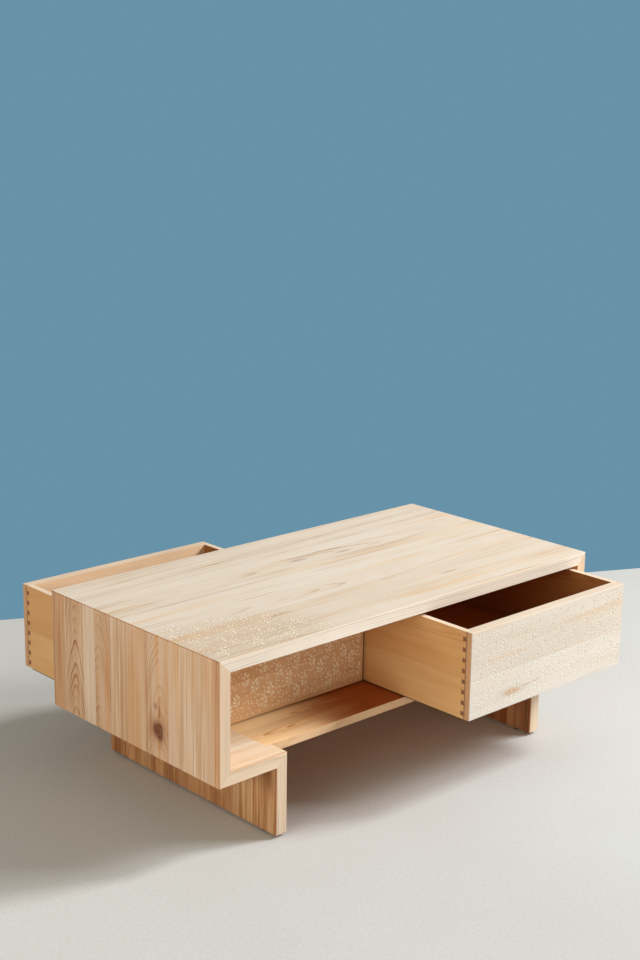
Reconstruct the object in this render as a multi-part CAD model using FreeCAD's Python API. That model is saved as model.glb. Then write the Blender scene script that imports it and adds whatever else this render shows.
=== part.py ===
import FreeCAD, Part
import math
import os

# Storage coffee table. A ribbon of thick mitred boards makes the top, the ends, the short bottom
# boards and the legs. A shelf joins the bottom boards, and two drawers side by side run right
# through the table, each with a carved front at both of its ends. Millimetres, +Z up. Left, right,
# front and back are as seen by someone who faces the front, which looks to -Y.

# Overall sizes of the table
table_length = 1220.0
table_depth = 625.0
table_height = 457.0
body_height = 288.0
board_thickness = 31.0
leg_inset = 161.0
edge_arris = 1.0

# Drawer travel to each side of closed, and how far of it each drawer stands out as stored: the
# right drawer to the front and the left drawer to the back
drawer_travel = 205.0
right_drawer_open_share = 0.756
left_drawer_open_share = 0.927

# Loose splines across the mitres, set nearer to the inside corner and stopped short of the edges
spline_thickness = 4.0
spline_width = 16.0
spline_end_stop = 28.0
spline_clearance = 0.1
spline_place_share = 0.25

# Shelf between the bottom boards, and the dowels in its ends
shelf_thickness = 20.0
shelf_setback = 54.0
shelf_bearing = 15.5
dowel_radius = 4.0
dowel_length = 30.0
dowel_clearance = 0.1
dowel_place_shares = (-0.8, -0.4, 0.0, 0.4, 0.8)

# Drawers: gaps around them, and the boards they are made of
drawer_lift = 4.0
drawer_top_gap = 8.0
drawer_end_gap = 9.5
drawer_middle_gap = 6.5
front_thickness = 27.0
front_lap = 18.0
side_thickness = 15.0
bottom_thickness = 10.0
bottom_height = 33.0
groove_depth = 6.0

# Half-blind dovetails: the pitch as a share of an even one over the drawer's height, and shares of it
pin_count = 8
pin_pitch_share = 0.97
pin_height_share = 0.45
first_pin_share = 0.52
dovetail_slope_share = 0.1

# Guide under each drawer: a block on the shelf between two rails on the drawer's bottom
block_width = 60.0
block_headroom = 6.0
block_arris = 2.0
rail_width = 18.0
rail_floor_gap = 8.0
rail_side_clearance = 0.8
strip_width = 9.0
bumper_thickness = 3.0
bumper_corner_radius = 3.0
bumper_width_share = 0.6
bumper_height_share = 0.55

# Countersunk wood screws in the guide blocks and the rails
screw_shank_radius = 2.0
screw_head_radius = 4.0
screw_head_height = 2.4
screw_tip_length = 4.0
screw_drive_radius = 1.6
screw_drive_depth = 1.4
screw_clearance = 0.05
block_screw_bite = 12.0
rail_screw_bite = 6.0
block_screw_place_shares = (-0.32, 0.32)
rail_screw_place_shares = (-0.4, 0.0, 0.4)

# Round glides under the legs, each held by a pan-head screw in a counterbore
glide_radius = 10.0
glide_height = 7.0
glide_setback = 52.0
glide_edge_radius = 1.5
glide_counterbore_radius = 4.6
glide_counterbore_depth = 3.4
glide_screw_head_radius = 4.0
glide_screw_head_height = 2.0
glide_screw_bite = 22.0

# Cuts run past the solid by the overrun. A screw has a hexagon drive
overrun = 1.0
hexagon_sides = 6
half_turn_degrees = 180
same_place = 1e-6

# Levels and planes that the boards share
half_length = table_length / 2
half_depth = table_depth / 2
body_bottom = table_height - body_height
floor_level = body_bottom + board_thickness
ceiling_level = table_height - board_thickness
end_inner = half_length - board_thickness
leg_outer = half_length - leg_inset
leg_inner = leg_outer - board_thickness
leg_centre = leg_outer - board_thickness / 2
shelf_end = leg_inner + shelf_bearing
shelf_half_depth = half_depth - shelf_setback

# Drawer sizes that follow from the bay and the gaps
drawer_width = end_inner - drawer_end_gap - drawer_middle_gap / 2
drawer_height = ceiling_level - floor_level - drawer_lift - drawer_top_gap
drawer_centre = drawer_middle_gap / 2 + drawer_width / 2
drawer_level = floor_level + drawer_lift
half_width = drawer_width / 2
inner_half_width = half_width - side_thickness
inner_half_depth = half_depth - front_thickness
bottom_underside = bottom_height - bottom_thickness
rail_height = bottom_underside + drawer_lift - rail_floor_gap
block_height = bottom_underside + drawer_lift - block_headroom
block_length = 2 * (inner_half_depth - drawer_travel - bumper_thickness)
rail_centre = block_width / 2 + rail_side_clearance + rail_width / 2

# The origin is on the floor under the middle of the table with its drawers as stored
right_drawer_out = drawer_travel * right_drawer_open_share
left_drawer_out = drawer_travel * left_drawer_open_share
frame_shift = FreeCAD.Vector(0, (right_drawer_out - left_drawer_out) / 2, 0)


def vector(x, y, z):
    return FreeCAD.Vector(x, y, z)


def box(low, high):
    return Part.makeBox(high[0] - low[0], high[1] - low[1], high[2] - low[2], vector(*low))


def board(profile, half_span):
    """A solid with this outline in X and Z, from -half_span to half_span in Y."""
    points = [vector(x, -half_span, z) for x, z in profile]
    outline = Part.makePolygon(points + points[:1])
    return Part.Face(outline).extrude(vector(0, 2 * half_span, 0))


def eased(solid):
    """The board with its long front and back edges eased. The mitred edges stay sharp."""
    edges = []
    for edge in solid.Edges:
        start, end = (vertex.Point for vertex in edge.Vertexes)
        step = end - start
        at_edge = math.isclose(abs(start.y), half_depth) and math.isclose(start.y, end.y)
        square = math.isclose(abs(step.x), step.Length) or math.isclose(abs(step.z), step.Length)
        if at_edge and square:
            edges.append(edge)
    return solid.makeChamfer(edge_arris, edges)


def cut_all(solid, tools):
    for tool in tools:
        solid = solid.cut(tool)
    return solid


def spline(inside, outside, clearance=0.0):
    """A spline across the mitre that runs from the inside corner to the outside corner."""
    corner = vector(inside[0], 0, inside[1])
    along = vector(outside[0], 0, outside[1]) - corner
    centre = corner + along * spline_place_share
    along.normalize()
    across = vector(-along.z, 0, along.x)
    half_thick = along * (spline_thickness / 2 + clearance)
    half_wide = across * (spline_width / 2 + clearance)
    corners = [
        centre + half_thick + half_wide,
        centre + half_thick - half_wide,
        centre - half_thick - half_wide,
        centre - half_thick + half_wide,
    ]
    profile = [(point.x, point.z) for point in corners]
    return board(profile, half_depth - spline_end_stop + clearance)


def mitre_corners(side):
    """Inside and outside corners of the three mitres on one side, as X and Z."""
    return {
        "top": ((side * end_inner, ceiling_level), (side * half_length, table_height)),
        "lower": ((side * end_inner, floor_level), (side * half_length, body_bottom)),
        "leg": ((side * leg_outer, body_bottom), (side * leg_inner, floor_level)),
    }


def spline_grooves(side):
    corners = mitre_corners(side).items()
    return {name: spline(*pair, clearance=spline_clearance) for name, pair in corners}


def shelf_blank():
    low = (-shelf_end, -shelf_half_depth, floor_level - shelf_thickness)
    high = (shelf_end, shelf_half_depth, floor_level)
    return box(low, high)


def shelf_dowels(side, clearance=0.0):
    """Dowels along X across the joint at one end of the shelf."""
    length = dowel_length + 2 * clearance
    dowels = []
    for share in dowel_place_shares:
        middle = vector(side * shelf_end, share * shelf_half_depth, floor_level - shelf_thickness / 2)
        start = middle - vector(length / 2, 0, 0)
        dowels.append(Part.makeCylinder(dowel_radius + clearance, length, start, vector(1, 0, 0)))
    return dowels


def top_board():
    profile = [
        (-half_length, table_height),
        (half_length, table_height),
        (end_inner, ceiling_level),
        (-end_inner, ceiling_level),
    ]
    grooves = [spline_grooves(side)["top"] for side in (-1, 1)]
    return cut_all(eased(board(profile, half_depth)), grooves)


def end_panel(side):
    profile = [
        (side * half_length, table_height),
        (side * half_length, body_bottom),
        (side * end_inner, floor_level),
        (side * end_inner, ceiling_level),
    ]
    grooves = spline_grooves(side)
    return cut_all(eased(board(profile, half_depth)), [grooves["top"], grooves["lower"]])


def bottom_board(side):
    profile = [
        (side * half_length, body_bottom),
        (side * leg_outer, body_bottom),
        (side * leg_inner, floor_level),
        (side * end_inner, floor_level),
    ]
    grooves = spline_grooves(side)
    tools = [grooves["lower"], grooves["leg"], shelf_blank()] + shelf_dowels(side, dowel_clearance)
    return cut_all(eased(board(profile, half_depth)), tools)


def leg_board(side):
    profile = [
        (side * leg_outer, body_bottom),
        (side * leg_outer, glide_height),
        (side * leg_inner, glide_height),
        (side * leg_inner, floor_level),
    ]
    tools = [spline_grooves(side)["leg"], shelf_blank()] + shelf_dowels(side, dowel_clearance)
    tools += [glide_screw(side, end, screw_clearance) for end in (-1, 1)]
    return cut_all(eased(board(profile, half_depth)), tools)


def countersunk_screw(length, clearance=0.0):
    """A wood screw that points down, with the face of its head at the origin."""
    shank_radius = screw_shank_radius + clearance
    head_low = -screw_head_height
    tip_top = screw_tip_length - length
    head_radius = screw_head_radius + clearance
    head = Part.makeCone(shank_radius, head_radius, screw_head_height, vector(0, 0, head_low))
    shank = Part.makeCylinder(shank_radius, head_low - tip_top, vector(0, 0, tip_top))
    tip = Part.makeCone(0, shank_radius, screw_tip_length, vector(0, 0, -length))
    screw = head.fuse([shank, tip]).removeSplitter()
    if clearance:
        return screw
    turns = [2 * math.pi * step / hexagon_sides for step in range(hexagon_sides)]
    points = [
        vector(screw_drive_radius * math.cos(turn), screw_drive_radius * math.sin(turn), -screw_drive_depth)
        for turn in turns
    ]
    drive = Part.Face(Part.makePolygon(points + points[:1]))
    return screw.cut(drive.extrude(vector(0, 0, screw_drive_depth + overrun)))


def block_screws(side, clearance=0.0):
    """Screws down through the guide block on one side and into the shelf."""
    screws = []
    for share in block_screw_place_shares:
        screw = countersunk_screw(block_height + block_screw_bite, clearance)
        screw.translate(vector(side * drawer_centre, share * block_length, floor_level + block_height))
        screws.append(screw)
    return screws


def guide_block(side):
    low = (side * drawer_centre - block_width / 2, -block_length / 2, floor_level)
    high = (side * drawer_centre + block_width / 2, block_length / 2, floor_level + block_height)
    block = box(low, high)
    top_edges = [
        edge
        for edge in block.Edges
        if all(math.isclose(vertex.Z, high[2]) for vertex in edge.Vertexes)
    ]
    return cut_all(block.makeChamfer(block_arris, top_edges), block_screws(side, screw_clearance))


def block_bumpers(side):
    """Rubber pads on the two ends of a guide block, which stop the drawer."""
    half_wide = block_width * bumper_width_share / 2
    half_high = block_height * bumper_height_share / 2
    middle = floor_level + block_height / 2
    centre = side * drawer_centre
    bumpers = []
    for end in (-1, 1):
        near, far = sorted((end * block_length / 2, end * (block_length / 2 + bumper_thickness)))
        low = (centre - half_wide, near, middle - half_high)
        high = (centre + half_wide, far, middle + half_high)
        pad = box(low, high)
        corners = [
            edge
            for edge in pad.Edges
            if math.isclose(edge.BoundBox.YLength, bumper_thickness, rel_tol=same_place)
        ]
        bumpers.append(pad.makeFillet(bumper_corner_radius, corners))
    return bumpers


def shelf():
    tools = []
    for side in (-1, 1):
        tools += shelf_dowels(side, dowel_clearance) + block_screws(side, screw_clearance)
    return cut_all(shelf_blank(), tools)


def glide_place(side, end):
    return vector(side * leg_centre, end * (half_depth - glide_setback), 0)


def glide(side, end):
    disc = Part.makeCylinder(glide_radius, glide_height)
    lower_rim = [edge for edge in disc.Edges if math.isclose(edge.BoundBox.ZMax, 0, abs_tol=same_place)]
    disc = disc.makeFillet(glide_edge_radius, lower_rim)
    counterbore = Part.makeCylinder(
        glide_counterbore_radius, glide_counterbore_depth + overrun, vector(0, 0, -overrun)
    )
    hole = Part.makeCylinder(screw_shank_radius + screw_clearance, glide_height + overrun)
    foot = disc.cut(counterbore).cut(hole)
    foot.translate(glide_place(side, end))
    return foot


def glide_screw(side, end, clearance=0.0):
    """A pan-head screw up through a glide and into the leg."""
    shank_radius = screw_shank_radius + clearance
    shank_top = glide_height + glide_screw_bite - screw_tip_length
    head = Part.makeCylinder(
        glide_screw_head_radius,
        glide_screw_head_height,
        vector(0, 0, glide_counterbore_depth - glide_screw_head_height),
    )
    shank = Part.makeCylinder(
        shank_radius, shank_top - glide_counterbore_depth, vector(0, 0, glide_counterbore_depth)
    )
    tip = Part.makeCone(shank_radius, 0, screw_tip_length, vector(0, 0, shank_top))
    screw = head.fuse([shank, tip]).removeSplitter()
    screw.translate(glide_place(side, end))
    return screw


def dovetail_pins(side, end):
    """The pins at one corner of a drawer. They narrow towards the lap."""
    pitch = drawer_height * pin_pitch_share / pin_count
    mouth = half_depth - front_thickness
    lap = half_depth - front_lap
    mouth_half = pitch * pin_height_share / 2
    lap_half = mouth_half - (lap - mouth) * dovetail_slope_share
    outer = half_width if side > 0 else -inner_half_width
    pins = []
    for index in range(pin_count):
        level = (index + first_pin_share) * pitch
        points = [
            vector(outer - side_thickness, end * mouth, level - mouth_half),
            vector(outer - side_thickness, end * mouth, level + mouth_half),
            vector(outer - side_thickness, end * lap, level + lap_half),
            vector(outer - side_thickness, end * lap, level - lap_half),
        ]
        face = Part.Face(Part.makePolygon(points + points[:1]))
        pins.append(face.extrude(vector(side_thickness, 0, 0)))
    return pins


def drawer_bottom():
    """The bottom, with its corners notched round the dovetails. It sits in grooves all round."""
    level = bottom_height - bottom_thickness
    wide = inner_half_width + groove_depth
    deep = inner_half_depth + groove_depth
    across = box((-wide, -inner_half_depth, level), (wide, inner_half_depth, bottom_height))
    along = box((-inner_half_width, -deep, level), (inner_half_width, deep, bottom_height))
    return across.fuse(along).removeSplitter()


def drawer_side(side):
    inner, outer = sorted((side * inner_half_width, side * half_width))
    long_half = half_depth - front_lap
    blank = box((inner, -long_half, 0), (outer, long_half, drawer_height))
    tools = dovetail_pins(side, -1) + dovetail_pins(side, 1) + [drawer_bottom()]
    return cut_all(blank, tools)


def drawer_front(end):
    inner, outer = sorted((end * inner_half_depth, end * half_depth))
    blank = box((-half_width, inner, 0), (half_width, outer, drawer_height))
    face_edges = [
        edge
        for edge in blank.Edges
        if all(math.isclose(vertex.Y, end * half_depth) for vertex in edge.Vertexes)
    ]
    tools = [drawer_side(-1), drawer_side(1), drawer_bottom()]
    return cut_all(blank.makeChamfer(edge_arris, face_edges), tools)


def rail_screws(side, clearance=0.0):
    """Screws up through one rail and into the drawer's bottom."""
    screws = []
    for share in rail_screw_place_shares:
        screw = countersunk_screw(rail_height + rail_screw_bite, clearance)
        screw.rotate(vector(0, 0, 0), vector(1, 0, 0), half_turn_degrees)
        place = vector(side * rail_centre, share * 2 * inner_half_depth, bottom_underside - rail_height)
        screw.translate(place)
        screws.append(screw)
    return screws


def guide_rail(side):
    low = (side * rail_centre - rail_width / 2, -inner_half_depth, bottom_underside - rail_height)
    high = (side * rail_centre + rail_width / 2, inner_half_depth, bottom_underside)
    return cut_all(box(low, high), rail_screws(side, screw_clearance))


def slip_strip(side):
    centre = side * (half_width - side_thickness / 2)
    low = (centre - strip_width / 2, -inner_half_depth, -drawer_lift)
    high = (centre + strip_width / 2, inner_half_depth, 0)
    return box(low, high)


def drawer_pieces():
    """The pieces of one drawer about its own middle, with its lower edge at zero."""
    screws = rail_screws(-1) + rail_screws(1)
    holes = rail_screws(-1, screw_clearance) + rail_screws(1, screw_clearance)
    return {
        "front": drawer_front(-1),
        "back": drawer_front(1),
        "left_side": drawer_side(-1),
        "right_side": drawer_side(1),
        "bottom": cut_all(drawer_bottom(), holes),
        "left_rail": guide_rail(-1),
        "right_rail": guide_rail(1),
        "rail_screws": Part.makeCompound(screws),
        "left_slip_strip": slip_strip(-1),
        "right_slip_strip": slip_strip(1),
    }


def table_pieces():
    pieces = {"table_top": top_board(), "centre_shelf": shelf()}
    dowels = []
    screws = []
    glide_screws = []
    for hand, side in (("left", -1), ("right", 1)):
        pieces[hand + "_end_panel"] = end_panel(side)
        pieces[hand + "_bottom_board"] = bottom_board(side)
        pieces[hand + "_leg_board"] = leg_board(side)
        for joint, corners in mitre_corners(side).items():
            pieces[hand + "_" + joint + "_spline"] = spline(*corners)
        pieces[hand + "_guide_block"] = guide_block(side)
        pieces[hand + "_block_bumpers"] = Part.makeCompound(block_bumpers(side))
        dowels += shelf_dowels(side)
        screws += block_screws(side)
        for face, end in (("front", -1), ("back", 1)):
            pieces[face + "_" + hand + "_glide"] = glide(side, end)
            glide_screws.append(glide_screw(side, end))
    pieces["shelf_dowels"] = Part.makeCompound(dowels)
    pieces["guide_block_screws"] = Part.makeCompound(screws)
    pieces["glide_screws"] = Part.makeCompound(glide_screws)
    return pieces


def all_pieces():
    pieces = table_pieces()
    places = {
        "left_drawer": vector(-drawer_centre, left_drawer_out, drawer_level),
        "right_drawer": vector(drawer_centre, -right_drawer_out, drawer_level),
    }
    for drawer, place in places.items():
        for name, piece in drawer_pieces().items():
            piece.translate(place)
            pieces[drawer + "_" + name] = piece
    return pieces


os.makedirs("parts", exist_ok=True)
for node, shape in all_pieces().items():
    shape.translate(frame_shift)
    shape.exportStep("parts/" + node + ".step")
    print(node, len(shape.Solids), "solid", round(shape.Volume), "mm3", shape.isValid())
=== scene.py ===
# Looks of the storage coffee table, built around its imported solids.
# Lengths are metres in the part's own frame: X to the right, Y to the back, Z up.

import math
import random

import bmesh
import bpy
from mathutils import Matrix, Vector
from mathutils.geometry import delaunay_2d_cdt


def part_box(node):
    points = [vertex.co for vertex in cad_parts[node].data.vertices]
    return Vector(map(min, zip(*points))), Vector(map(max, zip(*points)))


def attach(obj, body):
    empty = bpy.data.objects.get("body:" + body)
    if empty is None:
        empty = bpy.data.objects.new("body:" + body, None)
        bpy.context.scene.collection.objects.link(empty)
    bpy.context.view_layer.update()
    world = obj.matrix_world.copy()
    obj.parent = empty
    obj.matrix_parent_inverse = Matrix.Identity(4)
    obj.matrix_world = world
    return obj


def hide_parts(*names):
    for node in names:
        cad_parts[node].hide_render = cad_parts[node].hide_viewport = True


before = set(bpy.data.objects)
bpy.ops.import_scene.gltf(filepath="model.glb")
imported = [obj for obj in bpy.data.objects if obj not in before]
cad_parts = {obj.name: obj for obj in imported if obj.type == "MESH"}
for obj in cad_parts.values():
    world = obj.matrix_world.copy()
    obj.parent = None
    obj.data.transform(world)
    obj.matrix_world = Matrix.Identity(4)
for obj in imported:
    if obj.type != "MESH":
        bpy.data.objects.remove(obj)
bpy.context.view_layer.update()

mm = 0.001
byte_full = 255.0
display_toe = 0.04045
display_slope = 12.92
display_offset = 0.055
display_power = 2.4


def shade(red, green, blue):
    """A colour written in display values from 0 to 255, as linear red, green, blue and alpha."""
    linear = []
    for value in (red, green, blue):
        share = value / byte_full
        if share <= display_toe:
            linear.append(share / display_slope)
        else:
            linear.append(((share + display_offset) / (1 + display_offset)) ** display_power)
    return (*linear, 1.0)


# Stage: camera, floor, wall, lamps

camera_place = (-2.566, -2.733, 1.637)
camera_yaw = 0.7491
camera_pitch = 0.2491
camera_roll = 0.014
camera_lens = 59.34
camera_sensor = 36.0

floor_reach = 14.0
floor_light = shade(209, 214, 217)
floor_dark = shade(204, 206, 207)
floor_roughness = 0.95
floor_specular = 0.10
floor_cloud_scale = 2.2
floor_cloud_detail = 3.0
floor_cloud_share = 0.35
floor_speck_scale = 120.0
floor_speck_detail = 4.0
floor_speck_roughness = 0.65
floor_speck_share = 0.75
floor_span = (0.40, 0.72)
floor_relief = 0.12
floor_relief_depth = 2.0 * mm
wall_foot = ((-0.136, 1.322), (1.830, 0.357))
wall_reach = 9.0
wall_height = 7.0
wall_colour = shade(104, 146, 168)

key_from = (0.94, -0.34, 0.82)
key_strength = 1.7
key_angle = math.radians(10)
key_colour = (1.0, 0.985, 0.965)
lamp_aim = (0.0, 0.0, 0.3)

# lamps: place, size, power and colour
front_lamp = ((2.8, -2.3, 2.5), (1.2, 1.2), 116.0, (1.0, 0.985, 0.965))
side_lamp = ((-3.6, -0.8, 1.15), (2.2, 0.8), 41.0, (1.0, 0.88, 0.72))
sky_strength = 0.32
sky_colour = (1.0, 0.91, 0.77, 1.0)

# sockets of a node that mixes colours: factor, first and second colour, and the result
mix_inputs = (0, 6, 7)
mix_output = 2


class Nodes:
    """Adds nodes to one tree. Each call gives the new node's output socket."""

    def __init__(self, tree):
        self.tree = tree

    def feed(self, socket, value):
        if isinstance(value, bpy.types.NodeSocket):
            self.tree.links.new(value, socket)
        else:
            socket.default_value = value

    def add(self, kind, inputs=None, output=0, **settings):
        node = self.tree.nodes.new(kind)
        for name, value in settings.items():
            setattr(node, name, value)
        for key, value in (inputs or {}).items():
            self.feed(node.inputs[key], value)
        return node.outputs[output]

    def math(self, operation, *values):
        return self.add("ShaderNodeMath", dict(enumerate(values)), operation=operation)

    def vector(self, x, y, z):
        return self.add("ShaderNodeCombineXYZ", {"X": x, "Y": y, "Z": z})

    def times(self, first, second):
        return self.add("ShaderNodeVectorMath", {0: first, 1: second}, operation="MULTIPLY")

    def scaled(self, vector, factor):
        return self.add("ShaderNodeVectorMath", {0: vector, "Scale": factor}, operation="SCALE")

    def noise(self, vector, scale, detail=2.0, roughness=0.5):
        inputs = {"Vector": vector, "Scale": scale, "Detail": detail, "Roughness": roughness}
        return self.add("ShaderNodeTexNoise", inputs)

    def chance(self, value, output="Value"):
        return self.add("ShaderNodeTexWhiteNoise", {"W": value}, output, noise_dimensions="1D")

    def parts(self, vector):
        node = self.tree.nodes.new("ShaderNodeSeparateXYZ")
        self.feed(node.inputs[0], vector)
        return node.outputs

    def ramp(self, factor, stops, interpolation="LINEAR"):
        node = self.tree.nodes.new("ShaderNodeValToRGB")
        self.feed(node.inputs["Fac"], factor)
        band = node.color_ramp
        band.interpolation = interpolation
        while len(band.elements) < len(stops):
            band.elements.new(1.0)
        for element, (place, colour) in zip(band.elements, stops):
            element.position = place
        for element, (place, colour) in zip(band.elements, stops):
            element.color = colour if hasattr(colour, "__len__") else (colour, colour, colour, 1.0)
        return node.outputs["Color"]

    def mix(self, factor, first, second):
        node = self.tree.nodes.new("ShaderNodeMix")
        node.data_type = "RGBA"
        for socket, value in zip(mix_inputs, (factor, first, second)):
            self.feed(node.inputs[socket], value)
        return node.outputs[mix_output]

    def span(self, value, low, high, to_low=0.0, to_high=1.0):
        inputs = {
            "Value": value,
            "From Min": low,
            "From Max": high,
            "To Min": to_low,
            "To Max": to_high,
        }
        return self.add("ShaderNodeMapRange", inputs, interpolation_type="SMOOTHSTEP")

    def bump(self, height, strength, depth):
        inputs = {"Height": height, "Strength": strength, "Distance": depth}
        return self.add("ShaderNodeBump", inputs)


def new_material(name):
    """A node material with its shader, ready for its colour, roughness and bump."""
    material = bpy.data.materials.new(name)
    material.use_nodes = True
    tree = material.node_tree
    shader = next(node for node in tree.nodes if node.type == "BSDF_PRINCIPLED")
    return material, Nodes(tree), shader


def make_camera():
    data = bpy.data.cameras.new("camera")
    data.sensor_width = camera_sensor
    data.lens = camera_lens
    flat = math.cos(camera_pitch)
    forward = Vector(
        (math.sin(camera_yaw) * flat, math.cos(camera_yaw) * flat, -math.sin(camera_pitch))
    )
    right = Vector((math.cos(camera_yaw), -math.sin(camera_yaw), 0.0))
    up = right.cross(forward)
    rolled_right = math.cos(camera_roll) * right + math.sin(camera_roll) * up
    rolled_up = math.cos(camera_roll) * up - math.sin(camera_roll) * right
    matrix = Matrix((rolled_right, rolled_up, -forward)).transposed().to_4x4()
    matrix.translation = Vector(camera_place)
    camera = bpy.data.objects.new("camera", data)
    camera.matrix_world = matrix
    bpy.context.scene.collection.objects.link(camera)
    bpy.context.scene.camera = camera


def flat_piece(name, corners, material):
    """A stage plane through four corners."""
    mesh = bpy.data.meshes.new(name)
    mesh.from_pydata(corners, [], [(0, 1, 2, 3)])
    mesh.materials.append(material)
    piece = bpy.data.objects.new(name, mesh)
    bpy.context.scene.collection.objects.link(piece)


def floor_material():
    material, nodes, shader = new_material("floor")
    place = nodes.add("ShaderNodeTexCoord", output="Object")
    broad = nodes.noise(place, floor_cloud_scale, floor_cloud_detail)
    fine = nodes.noise(place, floor_speck_scale, floor_speck_detail, floor_speck_roughness)
    clouds = nodes.math("MULTIPLY", broad, floor_cloud_share)
    blend = nodes.math("MULTIPLY_ADD", fine, floor_speck_share, clouds)
    factor = nodes.span(blend, *floor_span)
    nodes.feed(shader.inputs["Base Color"], nodes.mix(factor, floor_dark, floor_light))
    shader.inputs["Roughness"].default_value = floor_roughness
    shader.inputs["Specular IOR Level"].default_value = floor_specular
    nodes.feed(shader.inputs["Normal"], nodes.bump(fine, floor_relief, floor_relief_depth))
    return material


def wall_material():
    """A plain blue wall, seen by the camera from its front only, that takes no part in the light."""
    material = bpy.data.materials.new("wall")
    material.use_nodes = True
    tree = material.node_tree
    tree.nodes.clear()
    nodes = Nodes(tree)
    camera_ray = nodes.add("ShaderNodeLightPath", output="Is Camera Ray")
    glossy_ray = nodes.add("ShaderNodeLightPath", output="Is Glossy Ray")
    clear_ray = nodes.add("ShaderNodeLightPath", output="Is Transmission Ray")
    behind = nodes.add("ShaderNodeNewGeometry", output="Backfacing")
    seen = nodes.math("MAXIMUM", camera_ray, nodes.math("MAXIMUM", glossy_ray, clear_ray))
    front = nodes.math("MULTIPLY", seen, nodes.math("SUBTRACT", 1.0, behind))
    paint = nodes.add("ShaderNodeEmission", {"Color": wall_colour, "Strength": 1.0})
    open_air = nodes.add("ShaderNodeBsdfTransparent")
    surface = nodes.add("ShaderNodeMixShader", {0: front, 1: open_air, 2: paint})
    end = tree.nodes.new("ShaderNodeOutputMaterial")
    tree.links.new(surface, end.inputs["Surface"])
    return material


def make_stage():
    reach = floor_reach
    corners = [(x * reach, y * reach, 0.0) for x, y in ((-1, -1), (1, -1), (1, 1), (-1, 1))]
    flat_piece("floor", corners, floor_material())
    first = Vector((*wall_foot[0], 0.0))
    second = Vector((*wall_foot[1], 0.0))
    middle = (first + second) / 2
    run = (second - first).normalized() * wall_reach
    rise = Vector((0.0, 0.0, wall_height))
    left = middle - run
    right = middle + run
    flat_piece("wall", [left, right, right + rise, left + rise], wall_material())


def make_lamps():
    sun = bpy.data.lights.new("key", "SUN")
    sun.energy = key_strength
    sun.angle = key_angle
    sun.color = key_colour
    key = bpy.data.objects.new("key", sun)
    key.rotation_mode = "QUATERNION"
    key.rotation_quaternion = Vector(key_from).to_track_quat("Z", "Y")
    bpy.context.scene.collection.objects.link(key)
    for name, (place, size, power, colour) in (("front", front_lamp), ("side", side_lamp)):
        panel = bpy.data.lights.new(name, "AREA")
        panel.shape = "RECTANGLE"
        panel.size, panel.size_y = size
        panel.energy = power
        panel.color = colour
        lamp = bpy.data.objects.new(name, panel)
        lamp.location = place
        lamp.rotation_mode = "QUATERNION"
        lamp.rotation_quaternion = (Vector(place) - Vector(lamp_aim)).to_track_quat("Z", "Y")
        bpy.context.scene.collection.objects.link(lamp)


def make_sky():
    world = bpy.data.worlds.new("sky")
    bpy.context.scene.world = world
    world.use_nodes = True
    tree = world.node_tree
    tree.nodes.clear()
    nodes = Nodes(tree)
    camera_ray = nodes.add("ShaderNodeLightPath", output="Is Camera Ray")
    glow = nodes.add("ShaderNodeBackground", {"Color": sky_colour, "Strength": sky_strength})
    seen = nodes.add("ShaderNodeBackground", {"Color": wall_colour, "Strength": 1.0})
    surface = nodes.add("ShaderNodeMixShader", {0: camera_ray, 1: glow, 2: seen})
    end = tree.nodes.new("ShaderNodeOutputWorld")
    tree.links.new(surface, end.inputs["Surface"])


# Wood: boards glued from staves, with rings, bands, fibre, pores, flecks and knots in three dimensions

ring_step = 4.6 * mm
pith_spread = 200 * mm
pith_near = 14 * mm
pith_range = 40 * mm
steepest = 0.30
wander = 14 * mm
tremble = 2.4 * mm
ring_line = ((0.0, 0.10), (0.45, 0.22), (0.84, 1.0), (1.0, 0.05))
ring_weight_shares = (0.85, 0.15)
ring_fade_span = (0.36, 0.60, 0.22, 1.0)
stave_number_step = 61.7

# knots: how they push the rings aside, and their stain and glow from the middle outwards
knot_reach = 2.6
knot_swell_rate = 0.12
knot_swell_share = 0.4
knot_ragged = 1.6
knot_stain = (
    (0.0, 0.80), (0.06, 1.0), (0.16, 0.70), (0.28, 1.0), (0.36, 0.62), (0.44, 0.20), (0.60, 0.0),
)
knot_glow = ((0.0, 1.0), (0.40, 0.9), (0.60, 0.55), (0.80, 0.2), (1.0, 0.0))
knot_glow_share = 0.6

# figures drawn out along the grain: changes in a metre along and across it, then detail and roughness
sway_figure = (2.0, 12.0, 1.0)
shiver_figure = (9.0, 95.0)
ring_fade_figure = (2.4, 15.0)
band_figure = (2.5, 32.0, 3.0, 0.62)
streak_figure = (2.0, 27.0)
silver_figure = (2.2, 130.0, 1.0)
fibre_figure = (7.0, 520.0, 3.0, 0.6)
pore_figure = (75.0, 2100.0, 1.0)
blotch_figure = (4.0, 12.0)
warm_figure = (1.7, 14.0, 2.0, 0.55)
gold_figure = (2.2, 38.0)
fleck_scale = (6.5, 60.0, 60.0)

# where each figure begins and is full, and how much it counts
streak_span = (0.54, 0.74)
silver_span = (0.60, 0.76)
pore_span = (0.60, 0.72)
pore_shares = (0.8, 0.2)
fleck_span = (0.30, 0.05)
fleck_rarity_share = 0.97
warm_span = (0.48, 0.66)
gold_span = (0.58, 0.72)
tone_base = 0.16
strand_share = 0.40
fibre_share = 0.32
blotch_share = 0.42
pore_share = 0.30
fleck_share = 0.34
middling_place = 0.40
warm_loss = (0.0, -0.08, -0.17)
stave_warm_share = 0.4
streak_warm_share = 1.1
gold_warm_share = 1.5

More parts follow.
